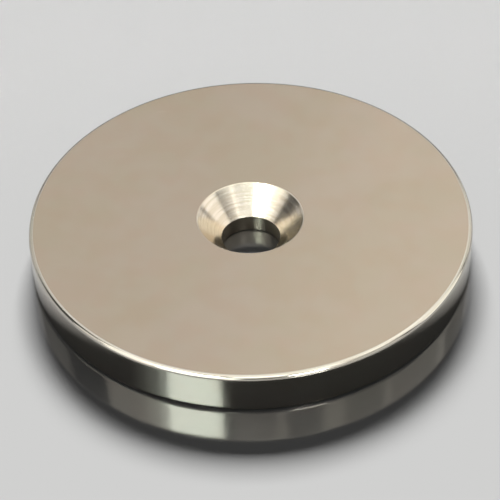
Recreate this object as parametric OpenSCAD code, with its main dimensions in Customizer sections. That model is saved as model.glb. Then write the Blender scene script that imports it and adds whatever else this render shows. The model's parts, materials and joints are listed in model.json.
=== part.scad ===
// Countersunk ring magnet: one sintered, ground and nickel-plated disc with a
// countersunk hole for a flat-head screw through its middle.
// It lies on its back face, centred on the Z axis, with the countersink up.

/* [Disc] */
// Outside diameter
outer_d = 50; // [20:1:100]
// Thickness between the two flat faces
thickness = 5; // [4.5:0.5:12]
// Radius of the tumbled edge around each face
edge_r = 0.5; // [0.1:0.1:1]

/* [Screw hole] */
// Diameter of the straight bore, a clear fit on an M6 screw
bore_d = 6.7; // [6:0.1:8]
// Diameter at which the countersink's cone would meet the front face
mouth_d = 12; // [11:0.1:13]
// Angle between opposite sides of the countersink's cone
sink_angle = 84; // [82:1:100]
// Radius of the round where the countersink opens on the front face
mouth_r = 0.15; // [0.05:0.05:0.3]
// Radius of the round where the bore opens on the back face
bore_edge_r = 0.15; // [0.05:0.05:0.3]

/* [Hidden] */
$fn = 180;

nickel_plate = "#c6b9a4";

// The countersink goes this deep, and a straight land of bore is left under it
sink_depth = (mouth_d - bore_d) / 2 / tan(sink_angle / 2);
land = thickness - sink_depth;

// Half section of the disc as [radius, height] corners, anticlockwise from the
// foot of the bore, each with the radius that rounds it. The cone meets the
// bore at a crisp edge.
corners = [
    [bore_d / 2, 0],
    [outer_d / 2, 0],
    [outer_d / 2, thickness],
    [mouth_d / 2, thickness],
    [bore_d / 2, land],
];
corner_radii = [bore_edge_r, edge_r, edge_r, mouth_r, 0];

// Unit vector from one point towards another
function towards(from, to) = (to - from) / norm(to - from);

// The tip of a corner that sticks out past the arc touching both of its sides
module corner_tip(corner, before, after, r) {
    to_before = towards(corner, before);
    to_after = towards(corner, after);
    half_angle = acos(to_before * to_after) / 2;
    touch = r / tan(half_angle);
    inwards = towards([0, 0], to_before + to_after);
    difference() {
        polygon([corner, corner + to_after * touch, corner + to_before * touch]);
        translate(corner + inwards * r / sin(half_angle)) circle(r);
    }
}

// A convex outline whose corners are rounded by true arcs
module rounded_outline(points, radii) {
    n = len(points);
    difference() {
        polygon(points);
        for (i = [0 : n - 1]) {
            if (radii[i] > 0) {
                corner_tip(points[i], points[(i + n - 1) % n], points[(i + 1) % n], radii[i]);
            }
        }
    }
}

// The whole magnet is its half section turned once round the Z axis
module magnet() {
    color(nickel_plate) rotate_extrude() rounded_outline(corners, corner_radii);
}

magnet();
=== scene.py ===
import json
from math import cos, pi, radians, sin, tan

import bmesh
import bpy
from mathutils import Matrix, Vector


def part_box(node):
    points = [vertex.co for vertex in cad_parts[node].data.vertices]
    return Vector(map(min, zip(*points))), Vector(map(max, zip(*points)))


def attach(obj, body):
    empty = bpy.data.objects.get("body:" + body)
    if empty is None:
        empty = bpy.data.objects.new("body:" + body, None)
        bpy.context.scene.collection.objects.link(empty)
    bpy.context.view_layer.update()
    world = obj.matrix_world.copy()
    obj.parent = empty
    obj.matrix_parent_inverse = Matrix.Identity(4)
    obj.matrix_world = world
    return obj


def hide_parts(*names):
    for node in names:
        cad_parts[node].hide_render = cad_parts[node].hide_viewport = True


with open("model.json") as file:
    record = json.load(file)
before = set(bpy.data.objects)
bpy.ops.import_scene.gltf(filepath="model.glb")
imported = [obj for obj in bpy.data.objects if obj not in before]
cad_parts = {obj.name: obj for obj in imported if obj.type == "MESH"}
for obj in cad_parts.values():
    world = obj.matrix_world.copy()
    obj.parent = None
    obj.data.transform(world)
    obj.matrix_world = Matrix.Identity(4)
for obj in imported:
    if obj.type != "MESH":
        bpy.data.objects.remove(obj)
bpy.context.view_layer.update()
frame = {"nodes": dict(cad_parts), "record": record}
print("frame loaded:", sorted(frame["nodes"]))

mm = 0.001  # metres
everything = bpy.context.scene.collection


def hexColour(text):
    # sRGB hex to the linear colour that shaders and lamps want
    channels = [int(text[i:i + 2], 16) / 255 for i in (1, 3, 5)]
    return [c / 12.92 if c <= 0.04045 else ((c + 0.055) / 1.055) ** 2.4 for c in channels] + [1.0]


def addNode(tree, kind, inputs=None, **settings):
    # one node with its settings; each socket named gets a value, another socket,
    # or a node, which stands for its first output
    made = tree.nodes.new(kind)
    for name, value in settings.items():
        setattr(made, name, value)
    for socket, value in (inputs or {}).items():
        if isinstance(value, bpy.types.Node):
            value = value.outputs[0]
        if isinstance(value, bpy.types.NodeSocket):
            tree.links.new(value, made.inputs[socket])
        else:
            made.inputs[socket].default_value = value
    return made


def patternScale(sizeMm):
    # how many of a pattern's features fit in a metre of Object coordinates
    return 1000 / sizeMm


# camera, level with the front of the disc and looking down at it

cameraSettings = {
    "lens": 136.3,                         # mm
    "place": (-0.153, -159.573, 146.982),  # mm from the middle of the disc's back
    "lookDown": 42.66,                     # degrees
    "roll": -1.90,                         # degrees
    "sensor": 36,                          # mm
    "clip": (0.01, 40),                    # metres
}

camera = bpy.data.objects.new("camera", bpy.data.cameras.new("camera"))
camera.data.lens = cameraSettings["lens"]
camera.data.sensor_width = cameraSettings["sensor"]
camera.data.clip_start, camera.data.clip_end = cameraSettings["clip"]
camera.matrix_world = (
    Matrix.Translation(Vector(cameraSettings["place"]) * mm)
    @ Matrix.Rotation(radians(90 - cameraSettings["lookDown"]), 4, "X")
    @ Matrix.Rotation(radians(cameraSettings["roll"]), 4, "Z")
)
everything.objects.link(camera)
bpy.context.scene.camera = camera
print("camera set")

# magnet, one outline with rounded corners, spun round its axis

magnetShape = {
    "mouthDiameter": 12.0,  # mm, the countersink at the face
    "sinkAngle": 84.0,      # degrees, both sides of the cone together
    "edgeRound": 0.5,       # mm, tumbled rim edges
    "mouthRound": 0.15,     # mm, broken edge round the countersink
    "boreRound": 0.15,      # mm, broken edge of the hole at the back
    "throatRound": 0.04,    # mm, where the cone meets the bore
    "roundSegments": 10,
    "steps": 360,           # round the disc
    "shoulder": 0.12,       # mm, rings beside each round that keep the flats flat
    "longSide": 0.7,        # mm, sides of the outline longer than this get those rings
    "weld": 0.0001,         # mm, points closer than this become one
}


def outlineCorners(shape, low, high, boreRadius):
    # (distance from the axis, height, round) from the bore's foot round to its throat
    mouth = shape["mouthDiameter"] / 2 * mm
    sinkDepth = (mouth - boreRadius) / tan(radians(shape["sinkAngle"] / 2))
    return [
        (boreRadius, low.z, shape["boreRound"]),
        (high.x, low.z, shape["edgeRound"]),
        (high.x, high.z, shape["edgeRound"]),
        (mouth, high.z, shape["mouthRound"]),
        (boreRadius, high.z - sinkDepth, shape["throatRound"]),
    ]


def turnMagnet(shape, corners):
    bm = bmesh.new()
    points = [bm.verts.new((x, 0, z)) for x, z, _ in corners]
    for a, b in zip(points, points[1:] + points[:1]):
        bm.edges.new((a, b))
    reach = []  # how far from its corner each round starts
    for i, (_, _, size) in enumerate(corners):
        back = points[i - 1].co - points[i].co
        on = points[(i + 1) % len(points)].co - points[i].co
        reach.append(size * mm / tan(back.angle(on) / 2))
    for point, offset in zip(points, reach):
        bmesh.ops.bevel(
            bm, geom=[point], offset=offset, offset_type="OFFSET", segments=shape["roundSegments"],
            profile=0.5, affect="VERTICES", material=-1,
        )
    for edge in [e for e in bm.edges if e.calc_length() > shape["longSide"] * mm]:
        start, end = (v.co.copy() for v in edge.verts)
        shoulder = (end - start).normalized() * shape["shoulder"] * mm
        cuts = bmesh.ops.subdivide_edges(bm, edges=[edge], cuts=2)["geom_inner"]
        rings = [v for v in cuts if isinstance(v, bmesh.types.BMVert)]
        rings.sort(key=lambda v: (v.co - start).length)
        rings[0].co, rings[1].co = start + shoulder, end - shoulder
    bmesh.ops.spin(
        bm, geom=bm.verts[:] + bm.edges[:], cent=(0, 0, 0), axis=(0, 0, 1),
        angle=2 * pi, steps=shape["steps"], use_merge=True,
    )
    bmesh.ops.remove_doubles(bm, verts=bm.verts, dist=shape["weld"] * mm)
    bmesh.ops.recalc_face_normals(bm, faces=bm.faces)
    return bm


zoneLimits = {
    "flat": 0.9999,  # a face whose normal is this upright is ground flat
    "outside": 1.0,  # mm past the countersink's mouth, where the rest belongs to the rim
    "cone": 0.3,     # in the hole, a face that looks up more than this is the countersink's
}


def giveZones(bm, mouthRadius, order):
    # which finish each face wears: ground face, tumbled rim, turned countersink or drilled bore
    for face in bm.faces:
        middle, up = face.calc_center_median(), face.normal.z
        distance = Vector(middle[:2]).length
        if abs(up) > zoneLimits["flat"]:
            zone = "face"
        elif distance > mouthRadius + zoneLimits["outside"] * mm:
            zone = "rim"
        elif up > zoneLimits["cone"]:
            zone = "sink"
        else:
            zone = "bore"
        face.material_index = order.index(zone)
        face.smooth = True


boreMount = next(m for m in frame["record"]["mounts"] if m["name"] == "screw_hole")
boreRadius = boreMount["dims"]["r_mm"] * mm
discLow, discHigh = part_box("magnet")
zones = ["face", "rim", "sink", "bore"]
bm = turnMagnet(magnetShape, outlineCorners(magnetShape, discLow, discHigh, boreRadius))
giveZones(bm, magnetShape["mouthDiameter"] / 2 * mm, zones)
discMesh = bpy.data.meshes.new("nickelDisc")
bm.to_mesh(discMesh)
bm.free()
disc = bpy.data.objects.new("nickelDisc", discMesh)
everything.objects.link(disc)
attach(disc, "root")
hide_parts("magnet")
print("magnet turned:", len(discMesh.polygons), "faces")

# finishes: one nickel plate over metal that was ground, tumbled, turned and drilled

plating = {
    # slow drifts of colour in the plate, a little greener, and smaller ones, a little pinker
    # the place, in mm, keeps one from following the other
    "tints": (
        {"colour": "#FCFDF9", "sizeMm": 9.0, "place": (0, 0, 0)},
        {"colour": "#FFFCFB", "sizeMm": 3.5, "place": (30, 10, 20)},
    ),
    "tintRange": (0.41, 0.63),  # values of the noise at which a tint starts and is whole
    "face": {
        "colour": "#C3B6A4", "roughness": (0.20, 0.25),
        "smudgeMm": 6.0, "smudgeRange": (0.35, 0.65),
        # real grinding grit is about 0.05, drawn coarser so that it shows
        "gritMm": 0.25, "gritDepth": 0.0001, "gritRoughness": 0.015,
        "waveMm": 1.2, "waveDepth": 0.002,
    },
    "rim": {
        "colour": "#CFCAC0", "roughness": (0.09, 0.13),
        # the satin starts where a place looks this far up, and is whole where it looks straight up
        "satin": 0.21, "satinRange": (0.80, 1.0),
        # streakLength is how many times longer than wide a streak is
        "streakMm": 0.8, "streakLength": 10, "streakDepth": 0.0005,
    },
    "sink": {
        # the countersink's colour is lighter than the rest of the same plate: a painted highlight
        "colour": "#E0D8CB", "roughness": (0.18, 0.23),
        # the tool's real feed is about 0.05, drawn coarser so that it shows
        "turningMm": 0.15, "turningChange": 1.0, "turningDepth": 0.0035,
        # the rings' grooves are darkened by this colour: painted shade
        "paintedGrooveShade": "#EFECE6", "paintedGrooveShadeRange": (0.60, 0.35),
        "blotMm": 1.0, "blotDepth": 0.0005,
    },
    "bore": {
        # the bore's colour is darker than the rest of the same plate: painted shade in the hole
        "colour": "#B8B0A1", "roughness": (0.26, 0.38),
        "scoreMm": 5.0, "scoreChange": 6.0,
        # grit drawn as coarse as the face's
        "gritMm": 0.25, "gritDepth": 0.002,
    },
}
noiseLow, noiseHigh = 0.3, 0.7  # nearly all of a noise's values lie between these
noiseGrain = 0.55               # how strongly a noise's finer layers show


def newFinish(name):
    finish = bpy.data.materials.new(name)
    finish.use_nodes = True
    finish.node_tree.nodes.clear()
    return finish, finish.node_tree, addNode(finish.node_tree, "ShaderNodeTexCoord")


def driftingColour(tree, place, colour):
    # plate that came out slightly greener here and pinker there
    # a colour Mix has its colours on sockets 6 and 7 and its result on output 2
    start, whole = plating["tintRange"]
    for tint in plating["tints"]:
        offset = Vector(tint["place"]) * mm
        moved = addNode(tree, "ShaderNodeMapping", {"Vector": place, "Location": offset})
        noise = addNode(tree, "ShaderNodeTexNoise", {
            "Vector": moved, "Scale": patternScale(tint["sizeMm"]), "Detail": 2.0, "Roughness": noiseGrain})
        amount = addNode(tree, "ShaderNodeMapRange", {"Value": noise, "From Min": start, "From Max": whole})
        tinted = addNode(tree, "ShaderNodeMix", {
            0: amount, 6: colour, 7: hexColour(tint["colour"]),
        }, data_type="RGBA", blend_type="MULTIPLY")
        colour = tinted.outputs[2]
    return colour


def roundAndOut(tree, place, outMm, change):
    # turns Object coordinates into direction and distance from the axis, so that marks run round the hole
    # without a seam: outMm is a mark's width, and change says how much it changes on its way round
    flat = addNode(tree, "ShaderNodeVectorMath", {0: place, 1: (1, 1, 0)}, operation="MULTIPLY")
    distance = addNode(tree, "ShaderNodeVectorMath", {0: flat}, operation="LENGTH").outputs["Value"]
    ring = addNode(tree, "ShaderNodeMath", {0: distance, 1: patternScale(outMm)}, operation="MULTIPLY")
    heading = addNode(tree, "ShaderNodeVectorMath", {0: flat}, operation="NORMALIZE")
    wide = addNode(tree, "ShaderNodeVectorMath", {0: heading, "Scale": change}, operation="SCALE")
    lift = addNode(tree, "ShaderNodeCombineXYZ", {"Z": ring})
    return addNode(tree, "ShaderNodeVectorMath", {0: wide, 1: lift}, operation="ADD")


def groundFace(look):
    # ground flat, then nickel plated: a satin that spreads what it reflects into one soft warm tone,
    # with faint smudges and the slow waves of the plate
    finish, tree, coords = newFinish("satin nickel plate on ground face")
    place = coords.outputs["Object"]
    grit = addNode(tree, "ShaderNodeTexNoise", {
        "Vector": place, "Scale": patternScale(look["gritMm"]), "Detail": 2.0, "Roughness": noiseGrain})
    wave = addNode(tree, "ShaderNodeTexNoise", {
        "Vector": place, "Scale": patternScale(look["waveMm"]), "Detail": 1.0, "Roughness": noiseGrain})
    smudge = addNode(tree, "ShaderNodeTexNoise", {
        "Vector": place, "Scale": patternScale(look["smudgeMm"]), "Detail": 3.0, "Roughness": noiseGrain})
    smooth, dull = look["roughness"]
    start, whole = look["smudgeRange"]
    smudged = addNode(tree, "ShaderNodeMapRange", {
        "Value": smudge, "From Min": start, "From Max": whole, "To Min": smooth, "To Max": dull})
    gritty = addNode(tree, "ShaderNodeMapRange", {
        "Value": grit, "From Min": noiseLow, "From Max": noiseHigh,
        "To Min": -look["gritRoughness"], "To Max": look["gritRoughness"]})
    roughness = addNode(tree, "ShaderNodeMath", {0: smudged, 1: gritty}, operation="ADD")
    waves = addNode(tree, "ShaderNodeBump", {
        "Height": wave, "Strength": 1.0, "Distance": look["waveDepth"] * mm})
    grits = addNode(tree, "ShaderNodeBump", {
        "Height": grit, "Strength": 1.0, "Distance": look["gritDepth"] * mm, "Normal": waves})
    colour = driftingColour(tree, place, hexColour(look["colour"]))
    shader = addNode(tree, "ShaderNodeBsdfPrincipled", {
        "Base Color": colour, "Metallic": 1.0, "Roughness": roughness, "Normal": grits})
    addNode(tree, "ShaderNodeOutputMaterial", {"Surface": shader})
    return finish


def tumbledRim(look):
    # tumbled round and bright before plating: near mirror, so that its curve draws thin white lines,
    # with faint upright streaks on the side
    finish, tree, coords = newFinish("bright nickel plate on tumbled rim")
    place = coords.outputs["Object"]
    drawnOut = (1, 1, 1 / look["streakLength"])
    upright = addNode(tree, "ShaderNodeMapping", {"Vector": place, "Scale": drawnOut})
    streak = addNode(tree, "ShaderNodeTexNoise", {
        "Vector": upright, "Scale": patternScale(look["streakMm"]), "Detail": 3.0, "Roughness": noiseGrain})
    facing = addNode(tree, "ShaderNodeSeparateXYZ", {"Vector": coords.outputs["Normal"]}).outputs["Z"]
    smooth, dull = look["roughness"]
    bright = addNode(tree, "ShaderNodeMapRange", {
        "Value": streak, "From Min": noiseLow, "From Max": noiseHigh, "To Min": smooth, "To Max": dull})
    start, whole = look["satinRange"]
    satin = addNode(tree, "ShaderNodeMapRange", {  # fades out of the ground face over the top of the round
        "Value": facing, "From Min": start, "From Max": whole, "To Min": smooth, "To Max": look["satin"]})
    roughness = addNode(tree, "ShaderNodeMath", {0: bright, 1: satin}, operation="MAXIMUM")
    streaks = addNode(tree, "ShaderNodeBump", {
        "Height": streak, "Strength": 1.0, "Distance": look["streakDepth"] * mm})
    colour = driftingColour(tree, place, hexColour(look["colour"]))
    shader = addNode(tree, "ShaderNodeBsdfPrincipled", {
        "Base Color": colour, "Metallic": 1.0, "Roughness": roughness, "Normal": streaks})
    addNode(tree, "ShaderNodeOutputMaterial", {"Surface": shader})
    return finish


def turnedSink(look):
    # cut by a countersink tool, then plated, with fine rings round the cone that draw its reflections out
    # into soft rays;
    # coloured lighter than the rest of the plate, which is a painted highlight, and darker in the rings'
    # grooves, which is painted shade
    finish, tree, coords = newFinish("bright nickel plate on turned countersink")
    place = coords.outputs["Object"]
    path = roundAndOut(tree, place, look["turningMm"], look["turningChange"])
    turning = addNode(tree, "ShaderNodeTexNoise", {"Vector": path, "Scale": 1.0, "Detail": 2.0})
    blot = addNode(tree, "ShaderNodeTexNoise", {
        "Vector": place, "Scale": patternScale(look["blotMm"]), "Detail": 2.0, "Roughness": noiseGrain})
    ridge, deep = look["paintedGrooveShadeRange"]  # values of the noise where the painted shade in the grooves is gone and whole
    paintedGrooveShade = addNode(tree, "ShaderNodeMapRange", {
        "Value": turning, "From Min": deep, "From Max": ridge, "To Min": 1, "To Max": 0})
    colour = driftingColour(tree, place, hexColour(look["colour"]))
    # painted shade: the colour is darker in the rings' grooves
    shaded = addNode(tree, "ShaderNodeMix", {
        0: paintedGrooveShade, 6: colour, 7: hexColour(look["paintedGrooveShade"]),
    }, data_type="RGBA", blend_type="MULTIPLY")
    smooth, dull = look["roughness"]
    roughness = addNode(tree, "ShaderNodeMapRange", {
        "Value": blot, "From Min": noiseLow, "From Max": noiseHigh, "To Min": smooth, "To Max": dull})
    blots = addNode(tree, "ShaderNodeBump", {
        "Height": blot, "Strength": 1.0, "Distance": look["blotDepth"] * mm})
    rings = addNode(tree, "ShaderNodeBump", {
        "Height": turning, "Strength": 1.0, "Distance": look["turningDepth"] * mm, "Normal": blots})
    shader = addNode(tree, "ShaderNodeBsdfPrincipled", {
        "Base Color": shaded.outputs[2], "Metallic": 1.0, "Roughness": roughness, "Normal": rings})
    addNode(tree, "ShaderNodeOutputMaterial", {"Surface": shader})
    return finish


def drilledBore(look):
    # drilled, then plated: duller, and coloured darker than the rest of the plate, which is painted shade in
    # the hole
    finish, tree, coords = newFinish("dull nickel plate in drilled bore with painted shade")
    place = coords.outputs["Object"]
    path = roundAndOut(tree, place, look["scoreMm"], look["scoreChange"])
    score = addNode(tree, "ShaderNodeTexNoise", {"Vector": path, "Scale": 1.0, "Detail": 2.0})
    grit = addNode(tree, "ShaderNodeTexNoise", {
        "Vector": place, "Scale": patternScale(look["gritMm"]), "Detail": 2.0, "Roughness": noiseGrain})
    smooth, dull = look["roughness"]
    roughness = addNode(tree, "ShaderNodeMapRange", {
        "Value": score, "From Min": noiseLow, "From Max": noiseHigh, "To Min": smooth, "To Max": dull})
    grits = addNode(tree, "ShaderNodeBump", {
        "Height": grit, "Strength": 1.0, "Distance": look["gritDepth"] * mm})
    colour = driftingColour(tree, place, hexColour(look["colour"]))
    shader = addNode(tree, "ShaderNodeBsdfPrincipled", {
        "Base Color": colour, "Metallic": 1.0, "Roughness": roughness, "Normal": grits})
    addNode(tree, "ShaderNodeOutputMaterial", {"Surface": shader})
    return finish


finishers = {"face": groundFace, "rim": tumbledRim, "sink": turnedSink, "bore": drilledBore}
for zone in zones:
    discMesh.materials.append(finishers[zone](plating[zone]))
print("finishes made:", len(discMesh.materials))

# floor

floorSettings = {"size": 2.4, "colour": "#D3D3D2", "roughness": 0.10, "ior": 1.75}

bm = bmesh.new()
bmesh.ops.create_grid(bm, x_segments=1, y_segments=1, size=floorSettings["size"] / 2)
floorMesh = bpy.data.meshes.new("floor")
bm.to_mesh(floorMesh)
bm.free()
floor = bpy.data.objects.new("floor", floorMesh)
everything.objects.link(floor)
# a board with a hard glaze: plain and pale, with a soft mirror image of what stands on it
board, tree, _ = newFinish("pale glazed board")
shader = addNode(tree, "ShaderNodeBsdfPrincipled", {
    "Base Color": hexColour(floorSettings["colour"]),
    "Roughness": floorSettings["roughness"],
    "IOR": floorSettings["ior"],
})
addNode(tree, "ShaderNodeOutputMaterial", {"Surface": shader})
floorMesh.materials.append(board)
print("floor laid")

# soft boxes, grouped by what they light
# "round" goes from the camera's side towards +X and "up" from level, in degrees; sizes are in metres
# at a level of 1 the box itself is just white

boxAway = 0.9  # metres, unless a box says otherwise
boxTints = {
    "warm": "#FFFDF6",
    "ivory": "#FFFEFA",
    "rosy": "#FFFCFA",
    "window": "#F4FFF8",  # a touch of green, as through glass
    "white": "#FFFFFF",
}
softBoxes = {
    "metal": {  # these show in the metal alone
        "ceiling": {"round": 0, "up": 90, "size": (0.80, 0.80), "level": 1.35, "tint": "warm"},
        "frontHigh": {"round": 2, "up": 57, "size": (0.28, 0.28), "level": 2.4, "tint": "ivory"},
        "front": {"round": -2, "up": 38, "size": (0.38, 0.30), "level": 0.85, "tint": "ivory"},
        "back": {"round": 180, "up": 47, "size": (0.72, 0.62), "level": 0.71, "tint": "rosy"},
        "backFill": {"round": 155, "up": 47, "size": (0.52, 0.62), "level": 0.20, "tint": "rosy"},
        "rightBack": {"round": 134, "up": 34, "size": (0.48, 0.95), "level": 0.76, "tint": "warm"},
        "right": {"round": 96, "up": 33, "size": (0.54, 1.15), "level": 1.25, "tint": "warm"},
        "rightHigh": {"round": 55, "up": 50, "size": (0.44, 0.48), "level": 1.0, "tint": "warm"},
        "rightLow": {"round": 56, "up": 18, "size": (0.42, 0.45), "level": 0.55, "tint": "warm"},
        "rightCard": {"round": 29, "up": 36, "size": (0.40, 1.05), "level": 0.72, "tint": "ivory"},
        "windowFoot": {"round": -26, "up": 17, "size": (0.58, 0.44), "level": 2.4, "tint": "window"},
        "leftCard": {"round": -58, "up": 18, "size": (0.39, 0.48), "level": 1.45, "tint": "warm"},
        "leftSide": {"round": -80, "up": 22, "size": (0.24, 0.46), "level": 0.9, "tint": "warm"},
        "leftHigh": {"round": -64, "up": 49, "size": (0.44, 0.52), "level": 1.60, "tint": "warm"},
        "leftTop": {"round": -113, "up": 58, "size": (0.50, 0.26), "level": 0.75, "tint": "warm"},
        "leftBack": {"round": -134, "up": 32, "size": (0.46, 0.70), "level": 0.60, "tint": "warm"},
    },
    "both": {  # these show in the floor's gloss too, and the curtain softens the left window's edge
        "leftWindow": {"round": -31.7, "up": 44, "size": (0.308, 0.20), "level": 13.2, "tint": "window"},
        "leftCurtain": {"round": -48, "up": 44, "size": (0.068, 0.20), "level": 3.3, "tint": "window"},
        "leftCurtainFold": {"round": -54.5, "up": 44, "size": (0.078, 0.20), "level": 1.2, "tint": "window"},
        "leftCurtainEdge": {"round": -61, "up": 44, "size": (0.068, 0.20), "level": 0.4, "tint": "window"},
        "rightWindow": {"round": 24, "up": 24, "size": (0.23, 0.29), "level": 10.0, "tint": "white"},
    },
    "floor": {  # and this one lights the floor
        "key": {"round": 180, "up": 32, "away": 6.0, "size": (2.4, 1.44), "level": 64.0, "tint": "white"},
    },
}

# the boxes that show in the metal alone are linked to this collection
metalOnly = bpy.data.collections.new("metal only")
metalOnly.objects.link(disc)


def hangSoftBox(name, box, lights):
    turn, rise = radians(box["round"]), radians(box["up"])
    toLamp = Vector((sin(turn) * cos(rise), -cos(turn) * cos(rise), sin(rise)))
    width, height = box["size"]
    lamp = bpy.data.lights.new(name, "AREA")
    lamp.shape = "RECTANGLE"
    lamp.size, lamp.size_y = width, height
    lamp.energy = box["level"] * pi * width * height
    lamp.color = hexColour(boxTints[box["tint"]])[:3]
    holder = bpy.data.objects.new(name, lamp)
    holder.location = toLamp * box.get("away", boxAway)
    holder.rotation_euler = toLamp.to_track_quat("Z", "Y").to_euler()
    holder.visible_diffuse = lights == "floor"
    holder.visible_glossy = lights != "floor"
    if lights == "metal":
        holder.light_linking.receiver_collection = metalOnly
    everything.objects.link(holder)


for lights, boxes in softBoxes.items():
    for name, box in boxes.items():
        hangSoftBox(name, box, lights)
    print("soft boxes hung for", lights + ":", len(boxes))

# room, dim with a pale horizon, and dimmer still in its light on the board

roomSettings = {
    "colour": "#FFFFFF",
    "horizon": 0.65,      # level that reflections see low down
    "above": 0.10,        # and above that
    "haze": (4.6, 12.7),  # degrees up, where the pale horizon starts to fade and where it is gone
    "matt": 0.05,         # level that lights matt surfaces
}

room = bpy.data.worlds.new("room")
room.use_nodes = True
tree = room.node_tree
tree.nodes.clear()
looking = addNode(tree, "ShaderNodeTexCoord").outputs["Generated"]
height = addNode(tree, "ShaderNodeSeparateXYZ", {"Vector": looking}).outputs["Z"]
hazeFrom, hazeTo = (sin(radians(angle)) for angle in roomSettings["haze"])
seen = addNode(tree, "ShaderNodeMapRange", {
    "Value": height, "From Min": hazeFrom, "From Max": hazeTo,
    "To Min": roomSettings["horizon"], "To Max": roomSettings["above"]})
matt = addNode(tree, "ShaderNodeLightPath").outputs["Is Diffuse Ray"]
strength = addNode(tree, "ShaderNodeMix", {"Factor": matt, "A": seen, "B": roomSettings["matt"]})
sky = addNode(tree, "ShaderNodeBackground", {
    "Color": hexColour(roomSettings["colour"]), "Strength": strength})
addNode(tree, "ShaderNodeOutputWorld", {"Surface": sky})
bpy.context.scene.world = room
bpy.context.scene.cycles.caustics_reflective = False  # no stray glints on the floor
bpy.context.scene.view_settings.view_transform = "Standard"
print("room set")
